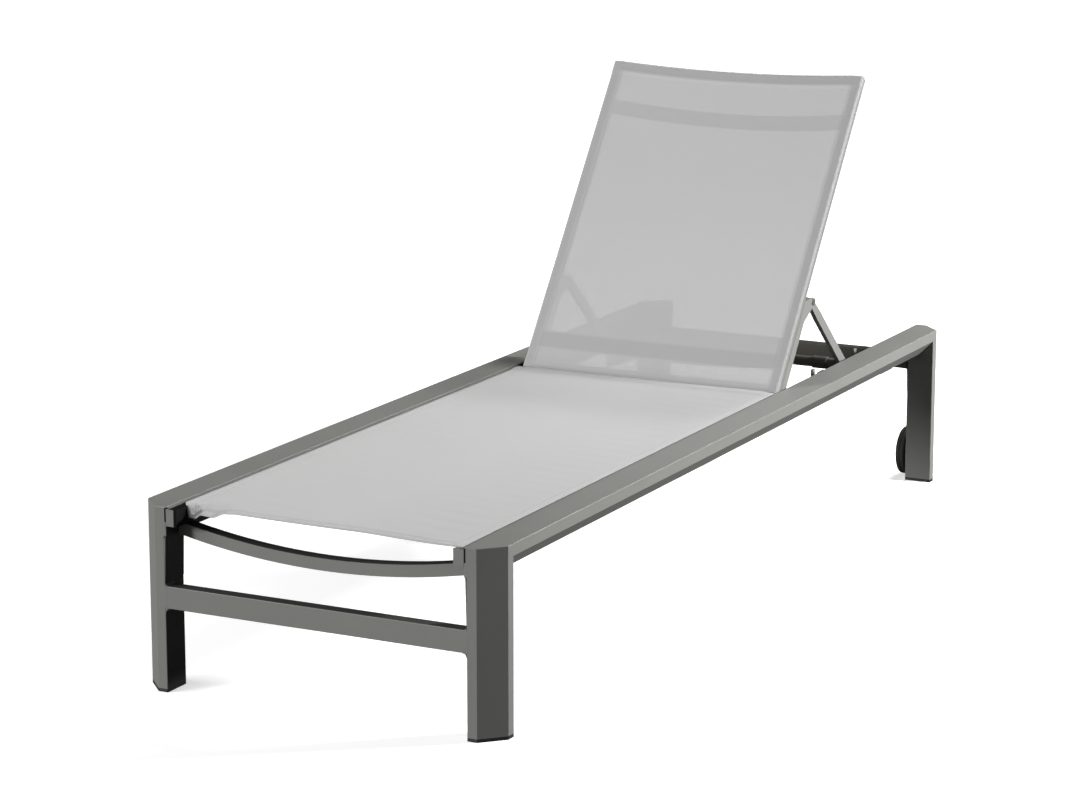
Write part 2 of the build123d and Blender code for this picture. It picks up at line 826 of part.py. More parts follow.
def build():
    """Every piece of the lounger by name."""
    side_rail, seat_rail = make_side_rail(), make_seat_rail()
    front_leg, rear_leg = make_leg(True), make_leg(False)
    back_rail, support_arm, prop_arm = make_back_rail(), make_support_arm(), make_prop_arm()
    rack, bracket, rim, tyre = make_rack(), make_wheel_bracket(), make_rim(), make_tyre()
    pairs = {
        "side_rail": side_rail, "seat_rail": seat_rail, "front_leg": front_leg, "rear_leg": rear_leg,
        "back_rail": back_rail, "support_arm": support_arm, "prop_arm": prop_arm, "rack": rack,
        "wheel_bracket": bracket, "wheel_rim": rim, "tyre": tyre}
    pieces = {}
    for name, shape in pairs.items():
        pieces["right_" + name] = shape
        pieces["left_" + name] = other_side(shape)
    pieces.update({
        "front_crossbar": make_front_crossbar(),
        "rear_crossbar": make_rear_crossbar(),
        "leg_glides": make_glides(),
        "seat_rail_caps": make_seat_rail_caps(),
        "seat_rail_screws": make_seat_screws(),
        "front_seat_spreader": make_front_seat_spreader(),
        "rear_seat_spreader": make_rear_seat_spreader(),
        "seat_fabric": make_seat_fabric(),
        "seat_edge_cords": make_seat_cords(),
        "back_rail_caps": make_back_caps(),
        "lower_back_spreader": make_back_spreader(back_rail_start + lower_spreader_inset),
        "upper_back_spreader": make_back_spreader(back_rail_end - upper_spreader_inset),
        "back_fabric": make_back_fabric(),
        "back_edge_cords": make_back_cords(),
        "support_arm_screws": make_arm_screws(),
        "prop_pivot_pins": make_pivot_pins(),
        "hinge_bolts": make_hinge_bolts(),
        "hinge_spacers": make_hinge_spacers(),
        "hinge_nuts": make_hinge_nuts(),
        "prop_cross_tube": make_prop_tube(),
        "rack_sleeves": make_sleeves(),
        "rack_screws": make_rack_screws(),
        "wheel_bracket_screws": make_bracket_screws(),
        "wheel_axles": make_axles(),
        "wheel_washers": make_washers()})
    return pieces


os.makedirs("parts", exist_ok=True)
for piece_name, piece_shape in build().items():
    export_step(piece_shape, f"parts/{piece_name}.step")
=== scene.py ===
import bpy
import bmesh
import json
import math
from mathutils import Matrix, Vector, noise


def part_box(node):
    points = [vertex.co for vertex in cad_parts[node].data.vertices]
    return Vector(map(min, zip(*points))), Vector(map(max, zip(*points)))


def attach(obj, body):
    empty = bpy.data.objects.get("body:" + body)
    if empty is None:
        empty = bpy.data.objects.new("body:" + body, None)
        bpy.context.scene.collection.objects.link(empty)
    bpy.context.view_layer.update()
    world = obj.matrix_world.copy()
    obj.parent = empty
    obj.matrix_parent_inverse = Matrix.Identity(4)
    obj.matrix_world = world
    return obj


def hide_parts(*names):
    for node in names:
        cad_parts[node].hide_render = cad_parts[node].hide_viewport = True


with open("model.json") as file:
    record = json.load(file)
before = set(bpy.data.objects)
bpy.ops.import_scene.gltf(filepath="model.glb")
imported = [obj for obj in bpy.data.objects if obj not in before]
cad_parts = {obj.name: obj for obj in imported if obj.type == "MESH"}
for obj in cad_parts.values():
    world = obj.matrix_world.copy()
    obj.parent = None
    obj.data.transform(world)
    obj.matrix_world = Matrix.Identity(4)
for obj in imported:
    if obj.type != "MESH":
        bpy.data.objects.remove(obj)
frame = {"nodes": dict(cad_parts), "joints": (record.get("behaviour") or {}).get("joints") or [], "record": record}  # metres, +Y from the foot end to the head end, +Z up
nodes = frame["nodes"]
joints = {joint["name"]: joint for joint in frame["joints"]}
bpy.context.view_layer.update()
mm = 0.001
print("frame loaded:", len(nodes), "nodes")


# shader maths

class Wire:  # an output socket, so that sums written on it become Math nodes
    def __init__(self, finish, socket):
        self.finish = finish
        self.socket = socket

    def __add__(self, other):
        return self.finish.maths("ADD", self, other)

    def __radd__(self, other):
        return self.finish.maths("ADD", other, self)

    def __sub__(self, other):
        return self.finish.maths("SUBTRACT", self, other)

    def __rsub__(self, other):
        return self.finish.maths("SUBTRACT", other, self)

    def __mul__(self, other):
        return self.finish.maths("MULTIPLY", self, other)

    def __rmul__(self, other):
        return self.finish.maths("MULTIPLY", other, self)

    def __pow__(self, other):
        return self.finish.maths("POWER", self, other)


class Finish:  # the node tree of a material or of the world
    def __init__(self, owner):
        owner.use_nodes = True
        self.owner = owner
        self.tree = owner.node_tree

    def node(self, kind, settings, sockets, output=0):
        made = self.tree.nodes.new("ShaderNode" + kind)
        for key, value in settings.items():
            setattr(made, key, value)
        for key, value in sockets.items():
            self.plug(made.inputs[key], value)
        return Wire(self, made.outputs[output])

    def plug(self, socket, value):
        if isinstance(value, Wire):
            self.tree.links.new(value.socket, socket)
        else:
            socket.default_value = value

    def shade(self, sockets, target="Principled BSDF"):  # a node that the tree has from the start
        for key, value in sockets.items():
            self.plug(self.tree.nodes[target].inputs[key], value)

    def maths(self, operation, *values):
        return self.node("Math", {"operation": operation}, dict(enumerate(values)))

    def place(self):  # the frame's own metres, because every object sits at the origin
        return self.node("TexCoord", {}, {}, "Object")

    def axis(self, point, name):
        return self.node("SeparateXYZ", {}, {"Vector": point}, name)

    def noise(self, point, scale, detail):
        return self.node("TexNoise", {}, {"Vector": point, "Scale": scale, "Detail": detail})

    def ramp(self, value, ends, levels, kind="LINEAR"):  # the levels at the two ends, held beyond them
        sockets = dict(enumerate((value, *ends, *levels)))
        return self.node("MapRange", {"interpolation_type": kind}, sockets)

    def blend(self, mask, first, second, kind="MIX"):  # Mix has its two colours at 6 and 7
        pair = [(*colour, 1) if isinstance(colour, tuple) else colour for colour in (first, second)]
        settings = {"data_type": "RGBA", "blend_type": kind}
        return self.node("Mix", settings, {0: mask, 6: pair[0], 7: pair[1]}, 2)

    def bump(self, height, depth, strength):
        sockets = {"Height": height, "Distance": depth, "Strength": strength}
        return self.node("Bump", {}, sockets)


# materials; a noise is its scale and detail, a bump its depth in metres and its strength

coatLook = {
    "colour": (0.156, 0.157, 0.147),
    "dustAndShade": (0.189, 0.190, 0.179),
    "dustShares": (0.6, 0.3),       # of the cloud and of the flecks
    "cloud": (9.0, 4),
    "fleck": (3300.0, 1),
    "grain": (1100.0, 2),
    "roughness": 0.48,
    "roughnessSpread": (0.14, 0.06),
    "gloss": 0.35,
    "bump": (0.00012, 0.35),
    # painted shade: a near-black laid on faces turned one way, standing in for the shade they lie in
    "paintedShadeColour": (0.020, 0.020, 0.019),
    "paintedShadeWay": None,               # the axis that faces with painted shade look along
    "paintedShadeShare": 0.85,
    "paintedShadeReach": (0.55, 0.85),
}
# painted shade: the upward faces of the crossbars and spreaders, which lie under the seat, are darkened
crossLook = {**coatLook, "paintedShadeWay": "Z"}
# painted shade: faces turned to +X, the inner faces of the left legs, the left side rail and their weld
# fillets, are darkened
innerLook = {**coatLook, "paintedShadeWay": "X", "paintedShadeShare": 0.9, "paintedShadeReach": (0.90, 0.98)}
# painted shade: a darker copy of the coat for the rear crossbar, which lies in the back's shadow, with its
# top darkened as well
shadedLook = {**crossLook, "colour": (0.050, 0.047, 0.038), "dustAndShade": (0.062, 0.058, 0.049)}
# painted shade: a darker copy of the coat for the prop's cross tube
tubeLook = {**coatLook, "colour": (0.070, 0.068, 0.058), "dustAndShade": (0.085, 0.082, 0.072)}


def powderCoat(name, look):  # sprayed powder: fine orange peel under a half gloss, with painted shade on faces turned one way where a look asks for it
    finish = Finish(bpy.data.materials.new(name))
    point = finish.place()
    cloud = finish.noise(point, *look["cloud"])
    fleck = finish.noise(point, *look["fleck"])
    grain = finish.noise(point, *look["grain"])
    cloudShare, fleckShare = look["dustShares"]
    coat = finish.blend(cloud * cloudShare + fleck * fleckShare, look["colour"], look["dustAndShade"])
    # painted shade: faces turned along that axis are darkened towards the near-black
    if look["paintedShadeWay"]:
        facing = finish.axis(finish.node("NewGeometry", {}, {}, "Normal"), look["paintedShadeWay"])
        mask = finish.ramp(facing, look["paintedShadeReach"], (0.0, look["paintedShadeShare"]))
        coat = finish.blend(mask, coat, look["paintedShadeColour"])
    cloudSpread, grainSpread = look["roughnessSpread"]
    finish.shade({
        "Base Color": coat,
        "Roughness": look["roughness"] + (cloud - 0.5) * cloudSpread + (grain - 0.5) * grainSpread,
        "Specular IOR Level": look["gloss"],
        "Normal": finish.bump(grain, *look["bump"]),
    })
    return finish.owner


plasticLook = {                     # spark-finished black mouldings
    "colour": (0.010, 0.010, 0.010),
    "spotColour": (0.030, 0.030, 0.029),
    "spots": (60.0, 6),
    "spotPower": 3.0,
    "grain": (1600.0, 3),
    "roughness": 0.55,
    "roughnessSpread": 0.2,
    "gloss": 0.5,
    "metallic": 0.0,
    "bump": (0.0001, 0.5),
}
# a matte near-black for the gaskets and the left shoe, which carry painted shade
shoeLook = {
    **plasticLook,
    "colour": (0.002, 0.002, 0.002),
    "spotColour": (0.006, 0.006, 0.006),
    "gloss": 0.08,
}
# painted shade: a dark grey for the strips in the gaps beside the seat rails
gapLook = {**plasticLook, "colour": (0.09, 0.09, 0.087), "spotColour": (0.11, 0.11, 0.107)}
sleeveLook = {**plasticLook, "colour": (0.045, 0.043, 0.036), "spotColour": (0.07, 0.068, 0.06)}
cordLook = {**plasticLook, "colour": (0.4, 0.4, 0.4), "spotColour": (0.3, 0.3, 0.3)}
rubberLook = {                      # dusty tyres
    "colour": (0.014, 0.014, 0.013),
    "spotColour": (0.050, 0.048, 0.044),
    "spots": (35.0, 5),
    "spotPower": 2.0,
    "grain": (700.0, 3),
    "roughness": 0.78,
    "roughnessSpread": 0.15,
    "gloss": 0.5,
    "metallic": 0.0,
    "bump": (0.0002, 0.5),
}
steelLook = {                       # zinc-plated fasteners
    "colour": (0.50, 0.50, 0.49),
    "spotColour": (0.30, 0.29, 0.27),
    "spots": (400.0, 4),
    "spotPower": 2.0,
    "grain": (2600.0, 2),
    "roughness": 0.34,
    "roughnessSpread": 0.2,
    "gloss": 0.5,
    "metallic": 1.0,
    "bump": (0.00005, 0.4),
}
threadLook = {
    "colour": (0.40, 0.40, 0.39),
    "spotColour": (0.30, 0.30, 0.29),
    "spots": (3000.0, 2),
    "spotPower": 1.0,
    "grain": (3000.0, 2),
    "roughness": 0.5,
    "roughnessSpread": 0.2,
    "gloss": 0.5,
    "metallic": 0.0,
    "bump": (0.0001, 0.5),
}


def speckledFinish(name, look):  # one colour with spots of another, under a fine grain
    finish = Finish(bpy.data.materials.new(name))
    point = finish.place()
    spots = finish.noise(point, *look["spots"])
    grain = finish.noise(point, *look["grain"])
    finish.shade({
        "Base Color": finish.blend(spots ** look["spotPower"], look["colour"], look["spotColour"]),
        "Metallic": look["metallic"],
        "Roughness": look["roughness"] + (spots - 0.5) * look["roughnessSpread"],
        "Specular IOR Level": look["gloss"],
        "Normal": finish.bump(grain, *look["bump"]),
    })
    return finish.owner


seatLook = {
    "thread": (0.468, 0.465, 0.465),
    "groove": (0.400, 0.397, 0.397),
    "denseAndShaded": (0.40, 0.40, 0.40),    # where the cloth is doubled or pressed on a rail, and painted shade on the seat's edges and the back's spreader bands
    "side": (0.28, 0.28, 0.28),     # painted shade where it turns down the rail's side
    "toneShare": 0.35,              # how much of those two the cloth takes
    "pitch": 1.15,                  # mm from one thread to the next
    "slub": (260.0, 3),
    "cloud": (7.0, 3),
    "slubShare": 0.25,
    "roughness": 0.62,
    "roughnessSpread": 0.1,
    "gloss": 0.15,
    "sheen": 0.05,
    "cover": 0.97,                  # the rest is the gaps at the crossings
    "coverSpread": 0.03,
    "bump": (0.0003, 0.25),
    "dustAndShade": (0.89, 0.89, 0.89),
    "paintedShadeRamps": [("Y", 1.1, 0.62), ("X", 0.22, 0.38)],   # painted shade, darker to the back and to the right: metres, full share
}
backLook = {
    **seatLook,
    "thread": (0.518, 0.513, 0.514),
    "groove": (0.440, 0.436, 0.437),
    "denseAndShaded": (0.42, 0.42, 0.42),
    "toneShare": 1.0,
    "cover": 0.78,
    "paintedShadeRamps": [],
}


def meshCloth(name, look):  # coated yarn woven over and under
    finish = Finish(bpy.data.materials.new(name))
    flat = finish.node("UVMap", {"uv_map": "cloth"}, {})  # metres across and along the cloth
    turns = math.pi / (look["pitch"] * mm)
    warp = finish.maths("SINE", finish.axis(flat, "X") * turns)
    weft = finish.maths("SINE", finish.axis(flat, "Y") * turns)
    over = finish.maths("GREATER_THAN", warp * weft, 0.0)
    height = over * finish.maths("ABSOLUTE", warp) + (1 - over) * finish.maths("ABSOLUTE", weft)
    slub = finish.noise(flat, *look["slub"])
    cloud = finish.noise(flat, *look["cloud"])
    shade = height * (1 - look["slubShare"]) + slub * look["slubShare"]
    weave = finish.blend(shade, look["groove"], look["thread"])
    # painted shade: the seat is darkened towards the back and to the right, where the lamps light it more
    rampedShade = 0.0
    for way, reach, share in look["paintedShadeRamps"]:
        rampedShade += finish.ramp(finish.axis(flat, way), (0.0, reach), (0.0, share))
    weave = finish.blend(rampedShade, weave, look["dustAndShade"], "MULTIPLY")
    # the tone gives doubled cloth and painted shade, and above 1 the painted shade of the sides
    tone = finish.node("Attribute", {"attribute_name": "tone"}, {}, "Fac") * look["toneShare"]
    doubledAndShaded = finish.blend(tone, weave, look["denseAndShaded"])
    finish.shade({
        "Base Color": finish.blend(tone - 1, doubledAndShaded, look["side"]),
        "Roughness": look["roughness"] + (cloud - 0.5) * look["roughnessSpread"],
        "Specular IOR Level": look["gloss"],
        "Sheen Weight": look["sheen"],
        "Alpha": look["cover"] + (cloud - 0.5) * look["coverSpread"],
        "Normal": finish.bump(height, *look["bump"]),
    })
    return finish.owner


frameCoat = powderCoat("frameCoat", coatLook)
crossCoat = powderCoat("crossCoat", crossLook)
innerCoat = powderCoat("innerCoat", innerLook)
shadedCoat = powderCoat("shadedCoat", shadedLook)
tubeCoat = powderCoat("tubeCoat", tubeLook)
blackPlastic = speckledFinish("blackPlastic", plasticLook)
shoePlastic = speckledFinish("shoePlastic", shoeLook)
gapPlastic = speckledFinish("gapPlastic", gapLook)
sleevePlastic = speckledFinish("sleevePlastic", sleeveLook)
cordPlastic = speckledFinish("cordPlastic", cordLook)
wheelRubber = speckledFinish("wheelRubber", rubberLook)
fastenerSteel = speckledFinish("fastenerSteel", steelLook)
stitchThread = speckledFinish("stitchThread", threadLook)
seatCloth = meshCloth("seatCloth", seatLook)
backCloth = meshCloth("backCloth", backLook)
print("materials made")


# what the frame's own pieces are finished with

slotMaterials = {
    "frame_coating": frameCoat,
    "black_plastic": blackPlastic,
    "tyre_rubber": wheelRubber,
    "hardware": fastenerSteel,
    "sling_fabric": seatCloth,
    "edge_cord": cordPlastic,
}
# the cross, inner, shaded and tube coats below carry painted shade
ownMaterials = [
    (crossCoat, ["front_crossbar", "front_seat_spreader", "rear_seat_spreader"]),
    (innerCoat, ["left_front_leg", "left_rear_leg", "left_side_rail"]),
    (shadedCoat, ["rear_crossbar"]),
    (tubeCoat, ["prop_cross_tube"]),
    (sleevePlastic, ["rack_sleeves"]),
]


def dress(piece, material):
    piece.data.materials.clear()
    piece.data.materials.append(material)


for subpart in frame["record"]["subparts"]:
    dress(nodes[subpart["node"]], slotMaterials[subpart["material_slot"]])
for ownMaterial, nodeNames in ownMaterials:
    for nodeName in nodeNames:
        dress(nodes[nodeName], ownMaterial)


# small tools for new pieces

def boxOf(name):  # a node's lowest and highest corner in millimetres
    return [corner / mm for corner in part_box(name)]


def addObject(name, data):
    made = bpy.data.objects.new(name, data)
    bpy.context.scene.collection.objects.link(made)
    return made


def addMesh(name, mesh, material):
    data = bpy.data.meshes.new(name)
    mesh.to_mesh(data)
    mesh.free()
    data.materials.append(material)
    return addObject(name, data)


def finishPiece(name, mesh, material, body, smooth=True):
    piece = addMesh(name, mesh, material)
    for face in piece.data.polygons:
        face.use_smooth = smooth
    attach(piece, body)
    return piece


def ease(start, end, value):  # 0 up to start and 1 from end on
    share = max(0.0, min(1.0, (value - start) / (end - start)))
    return share * share * (3 - 2 * share)


def tableAt(rows, place):
    for (start, low), (end, high) in zip(rows, rows[1:]):
        if place <= end:
            return low + (high - low) * ease(start, end, place)
    return rows[-1][1]


# the slings: a place on one is its reach across from the middle and its run along the strip, in mm

hemEase = 8.0   # mm over which the cloth settles beside its hem
foldGap = 0.1   # between a hem's two layers


def profilePoint(stretches, reach):  # a stretch: its length, bend radius (0 is straight), way (1 is down)
    point = Vector((0.0, 0.0))
    heading = Vector((1.0, 0.0))
    for length, radius, way in stretches:
        step = min(reach, length)
        if radius:
            centre = point + Vector((heading.y, -heading.x)) * way * radius
            turn = Matrix.Rotation(-step / radius * way, 2)
            point = centre + turn @ (point - centre)
            heading = turn @ heading
        else:
            point = point + heading * step
        reach -= step
        if reach <= 0:
            break
    return point, heading


def stripLength(length, hem, rise):
    return length + 2 * hem + math.pi * rise


def foldedPlace(run, length, hem, rise):  # both ends are folded under: gives the place along and the lift
    fold = math.pi * rise / 2
    along = run - hem - fold
    if 0 <= along <= length:
        settled = ease(hem, hem + hemEase, along) * ease(hem, hem + hemEase, length - along)
        return along, rise * (1 - settled)
    beyond = max(-along, along - length)
    turn = min(1.0, beyond / fold) * math.pi
    out = math.sin(turn) * rise / 2 - max(0.0, beyond - fold)
    lift = rise / 2 * (1 + math.cos(turn))
    return (-out if along < 0 else length + out), lift


seatSling = {
    "thickness": 0.9,
    "gap": 0.3,
    "bead": 0.3,            # the cloth rises over the cord in its channel
    "beadStart": 262.0,
    "beadBend": 1.5,
    "beadTurn": 150.0,
    "backBend": 1.2,
    "backTurn": 60.0,
    "sag": 3.5,
    "hem": 26.0,
    "acrossSteps": 190,
    "alongSteps": 260,
    "ripple": 0.90,
    "ripplePitch": 46.0,
    "rippleSlant": 0.02,
    "uneven": (0.006, 0.004, 3.1),      # the noise's scale across and along, and its layer
    "unevenShare": 2.0,
    "rearLift": 4.0,        # where it meets the back
    "liftLength": 30.0,
    "liftPower": 0.25,
    "frontReach": [(-300.0, 0.0), (60.0, 0.0), (250.0, 20.0), (300.0, 20.0)],   # the front edge is hollow
    "reachLength": 300.0,
    "rearTone": 0.4,
    "hemFade": 1.5,
    "edgeTone": 2.8,
    "edgeFade": 4.0,
    "seamReach": 256.0,
}

looseCorner = {             # the left front corner hangs out of its channel
    "pull": 24.5,
    "pullLength": 37.0,
    "flatten": 0.85,
    "unroll": 9.0,
    "gather": (-262.0, -196.0),
    "railEdge": -262.5,     # nothing hangs while it still lies on the rail
    "railFade": 2.5,
    "fadeWidth": 30.0,
    "fadeLength": (10.0, 52.0),
    "drop": [(-300.0, 18.5), (-240.0, 18.5), (-230.0, 11.0), (-207.0, 11.5), (-180.0, 1.8), (-160.0, 0.0)],
}


def seatShape(sling):
    low, high = boxOf("seat_fabric")
    railLow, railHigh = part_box("right_seat_rail")
    bead, back = sling["beadBend"], sling["backBend"]
    down, up = math.radians(sling["beadTurn"]), math.radians(sling["backTurn"])
    middle = railHigh.z / mm + sling["gap"] + sling["bead"] + sling["thickness"] / 2
    outward = bead * math.sin(down) - back * (1 - math.cos(up))
    fall = bead * (1 - math.cos(down)) + back * math.sin(up)
    stretches = [
        (high.x - sling["thickness"] / 2 - outward, 0, 1),
        (bead * down, bead, 1),
        (back * up, back, -1),
        (middle - fall - low.z, 0, 1),
    ]
    return {
        "stretches": stretches,
        "flatWidth": stretches[0][0],
        "halfWidth": sum(stretch[0] for stretch in stretches),
        "length": high.y - low.y,
        "start": low.y,
        "middle": middle,
        "inner": railLow.x / mm,
        "rise": sling["thickness"] + foldGap,
    }


def hangCorner(corner, x, z, along):
    if x > corner["drop"][-1][0]:
        return x, z
    held = 1 - ease(*corner["gather"], x)
    x += corner["pull"] * held * max(0.0, 1 - max(0.0, along) / corner["pullLength"]) ** 2
    edge = corner["railEdge"]
    near, far = corner["fadeLength"]
    reach = near + (far - near) * ease(edge, edge + corner["fadeWidth"], x)
    hanging = (1 - ease(0.0, reach, along)) * ease(edge, edge + corner["railFade"], x)
    return x, z - tableAt(corner["drop"], x) * hanging


def seatLift(sling, shape, reach, along, slack):  # the sag, the ripples, the bead and the lift by the back
    across, onward, layer = sling["uneven"]
    wave = math.sin(along / sling["ripplePitch"] * math.tau + reach * sling["rippleSlant"])
    wave += noise.noise(Vector((reach * across, along * onward, layer))) * sling["unevenShare"]
    lift = -sling["sag"] * slack - sling["ripple"] * wave * slack * (1 - slack)
    if abs(reach) < shape["flatWidth"]:
        lift -= sling["bead"] * (1 - ease(sling["beadStart"], shape["flatWidth"], abs(reach)))
    rear = ease(shape["length"] - sling["liftLength"], shape["length"], along)
    return lift + sling["rearLift"] * slack ** sling["liftPower"] * rear


def seatTone(sling, shape, reach, along):  # 1 is dense cloth, 2 and over the cloth down a rail's side; the edges get painted shade
    hem, fade, length = sling["hem"], sling["hemFade"], shape["length"]
    front = 1 - ease(hem, hem + fade, along)
    rear = sling["rearTone"] * ease(length - hem, length - hem + fade, along)
    # painted shade along the seat's edges, where the bead catches the side lamp
    edge = sling["edgeTone"] * ease(shape["flatWidth"] - sling["edgeFade"], shape["flatWidth"], abs(reach))
    return max(front, rear, edge)


def seatPoint(sling, shape, reach, run):  # gives the place in metres, the cloth's own run and the tone
    point, heading = profilePoint(shape["stretches"], abs(reach))
    along, lift = foldedPlace(run, shape["length"], sling["hem"], shape["rise"])
    lift -= shape["rise"] / 2 * (1 - heading.x)
    fall = point.y
    if reach < 0:  # the edge unrolls beside the loose corner
        corner = looseCorner
        loose = ease(0.0, corner["unroll"], corner["pullLength"] - along)
        fall *= 1 - corner["flatten"] * loose
    x = point.x - lift * heading.y
    slack = max(0.0, 1 - (x / shape["inner"]) ** 2)
    z = shape["middle"] + fall + lift * heading.x + seatLift(sling, shape, reach, along, slack)
    x, z = hangCorner(looseCorner, math.copysign(x, reach), z, along)
    hollow = tableAt(sling["frontReach"], x) * (1 - ease(0.0, sling["reachLength"], along))
    place = Vector((x, shape["start"] + along - hollow, z)) * mm
    return place, run, seatTone(sling, shape, reach, along)


backSling = {
    "thickness": 0.9,
    "gap": 0.3,
    "angle": 53.6,          # of the raised back
    "faceOffset": 27.5,     # of the rails' upper face from the hinge line
    "start": 7.0,
    "end": 709.5,
    "hollow": 9.0,          # of the top edge
    "halfWidth": 272.0,     # to the rails' outer sides
    "railWidth": 19.0,
    "slotDepth": 8.5,
    "tuck": 2.7,
    "sag": 5.0,
    "hem": 22.0,
    "bend": 1.6,
    "slotBend": 1.0,
    "acrossSteps": 170,
    "alongSteps": 220,
    "hemTone": 0.9,
    "hemFade": 3.0,
    "borderTones": [(0.0, 0.0), (250.0, 0.0), (256.0, 0.85), (266.0, 0.95), (271.0, 1.0), (273.0, 2.0),
                    (300.0, 2.0)],
    # painted shadow of the spreaders behind the cloth, as two dark bands along the back
    "spreaderTones": [(-50.0, 0.0), (12.0, 0.0), (14.0, 1.0), (19.0, 1.0), (21.0, 0.0), (57.0, 0.0),
                      (62.0, 0.8), (90.0, 0.8), (96.0, 0.0), (900.0, 0.0)],
    "seamReach": 250.0,
}


def backShape(sling):
    bend, slotBend = sling["bend"], sling["slotBend"]
    middle = sling["gap"] + sling["thickness"] / 2
    stretches = [
        (sling["halfWidth"] + middle - bend, 0, 1),
        (bend * math.pi / 2, bend, 1),
        (middle + sling["slotDepth"] - bend - slotBend, 0, 1),
        (slotBend * math.pi / 2, slotBend, 1),
        (sling["tuck"], 0, 1),
    ]
    return {
        "stretches": stretches,
        "halfWidth": sum(stretch[0] for stretch in stretches),
        "length": sling["end"] - sling["start"],
        "middle": middle,
        "inner": sling["halfWidth"] - sling["railWidth"],
        "rise": sling["thickness"] + foldGap,
    }


def raised(x, along, height):  # millimetres on the flat back to metres on the raised one
    hinge = Vector(joints["back_hinge"]["pos_m"])
    turn = Matrix.Rotation(math.radians(backSling["angle"]), 3, "X")
    return hinge + turn @ (Vector((x, along, backSling["faceOffset"] + height)) * mm)


def backPoint(sling, shape, reach, run):  # the hollow top edge leaves the strip shorter in the middle
    point, heading = profilePoint(shape["stretches"], abs(reach))
    slack = max(0.0, 1 - (point.x / shape["inner"]) ** 2) if abs(reach) < shape["inner"] else 0.0
    length = shape["length"] - sling["hollow"] * slack
    hem, rise = sling["hem"], shape["rise"]
    run *= stripLength(length, hem, rise) / stripLength(shape["length"], hem, rise)
    along, lift = foldedPlace(run, length, hem, rise)
    lift -= rise / 2 * (1 - max(0.0, heading.x))
    belly = math.sin(math.pi * min(1.0, max(0.0, along / length)))
    height = shape["middle"] + point.y + lift * heading.x - sling["sag"] * slack * (1 + belly) / 2
    x = math.copysign(point.x - lift * heading.y, reach)
    inHem = ease(length - hem, length - hem + sling["hemFade"], along)
    # the last of these is the painted shadow of the spreaders
    tones = (inHem * sling["hemTone"], tableAt(sling["borderTones"], abs(reach)),
             tableAt(sling["spreaderTones"], sling["start"] + along))
    return raised(x, sling["start"] + along, height), run, max(tones)


def makeSling(name, sling, shape, pointAt, material, body):
    mesh = bmesh.new()
    bmesh.ops.create_grid(mesh, x_segments=sling["acrossSteps"], y_segments=sling["alongSteps"], size=0.5)
    total = stripLength(shape["length"], sling["hem"], shape["rise"])
    flat, tones = {}, {}
    for vertex in mesh.verts:  # they lie between -0.5 and 0.5
        reach = vertex.co.x * 2 * shape["halfWidth"]
        run = (vertex.co.y + 0.5) * total
        vertex.co, run, tones[vertex.index] = pointAt(sling, shape, reach, run)
        flat[vertex.index] = (reach * mm, run * mm)
    flatLayer = mesh.loops.layers.uv.new("cloth")
    toneLayer = mesh.loops.layers.float_color.new("tone")
    for face in mesh.faces:
        for loop in face.loops:
            tone = tones[loop.vert.index]
            loop[flatLayer].uv = flat[loop.vert.index]
            loop[toneLayer] = (tone, tone, tone, 1)
    piece = finishPiece(name, mesh, material, body)
    wall = piece.modifiers.new("thickness", "SOLIDIFY")
    wall.thickness = sling["thickness"] * mm
    wall.offset = 0.0
    return piece


def cutSize(sling, shape):
    return 2 * shape["halfWidth"] * mm, (shape["length"] + 2 * sling["hem"]) * mm


def makeSeatSling(sling, shape):
    piece = makeSling("seatSling", sling, shape, seatPoint, seatCloth, "frame")
    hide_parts("seat_fabric")
    cutSize(sling, shape)


def makeBackSling(sling, shape):
    piece = makeSling("backSling", sling, shape, backPoint, backCloth, "backrest")
    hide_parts("back_fabric")
    wide, long = cutSize(sling, shape)
    cutAway = 2 / 3 * sling["hollow"] * 2 * shape["inner"] * mm * mm  # the hollow is a parabola
    wide * long - cutAway


seatFrame = seatShape(seatSling)
backFrame = backShape(backSling)
makeSeatSling(seatSling, seatFrame)
makeBackSling(backSling, backFrame)
print("slings made")


# seams: one short thread after the other, bedded in the cloth

stitchSetup = {
    "length": 3.3,
    "pitch": 4.4,
    "radius": 0.38,
    "sides": 6,
    "rings": [(0.0, 0.35, 0.9), (0.2, 1.0, 0.2), (0.5, 1.1, 0.0), (0.8, 1.0, 0.2), (1.0, 0.35, 0.9)],
    "rows": (3.0, 7.5),     # from the inner edge of the hem
    "endGap": 4.0,
    "stand": 0.12,          # the middle of the thread over the cloth
    "probe": 0.5,           # the step that finds the cloth's slope
}


def addThread(mesh, start, end, normal, setup):  # a ring is its share of the length, its size and its sink
    along = (end - start).normalized()
    across = along.cross(normal).normalized()
    over = across.cross(along).normalized()
    radius, sides = setup["radius"] * mm, setup["sides"]
    turns = [math.tau * index / sides for index in range(sides)]
    rings = []
    for share, size, sink in setup["rings"]:
        centre = start.lerp(end, share) - over * radius * sink
        ways = [across * math.cos(turn) + over * math.sin(turn) for turn in turns]
        rings.append([mesh.verts.new(centre + way * radius * size) for way in ways])
    for first, second in zip(rings, rings[1:]):
        for index in range(sides):
            after = (index + 1) % sides
            mesh.faces.new((first[index], first[after], second[after], second[index]))
    mesh.faces.new(list(reversed(rings[0])))
    mesh.faces.new(rings[-1])


def addSeam(mesh, surface, start, end, lift, setup):  # start and end are reach and run
    length = math.dist(start, end)
    probe = setup["probe"]
    travelled = 0.0
    while travelled + setup["length"] < length:
        ends = []
        for place in (travelled, travelled + setup["length"]):
            reach, run = [first + (last - first) * place / length for first, last in zip(start, end)]
            here = surface(reach, run)
            normal = (surface(reach + probe, run) - here).cross(surface(reach, run + probe) - here)
            normal.normalize()
            ends.append((here + normal * lift * mm, normal))
        addThread(mesh, ends[0][0], ends[1][0], ends[0][1], setup)
        travelled += setup["pitch"]


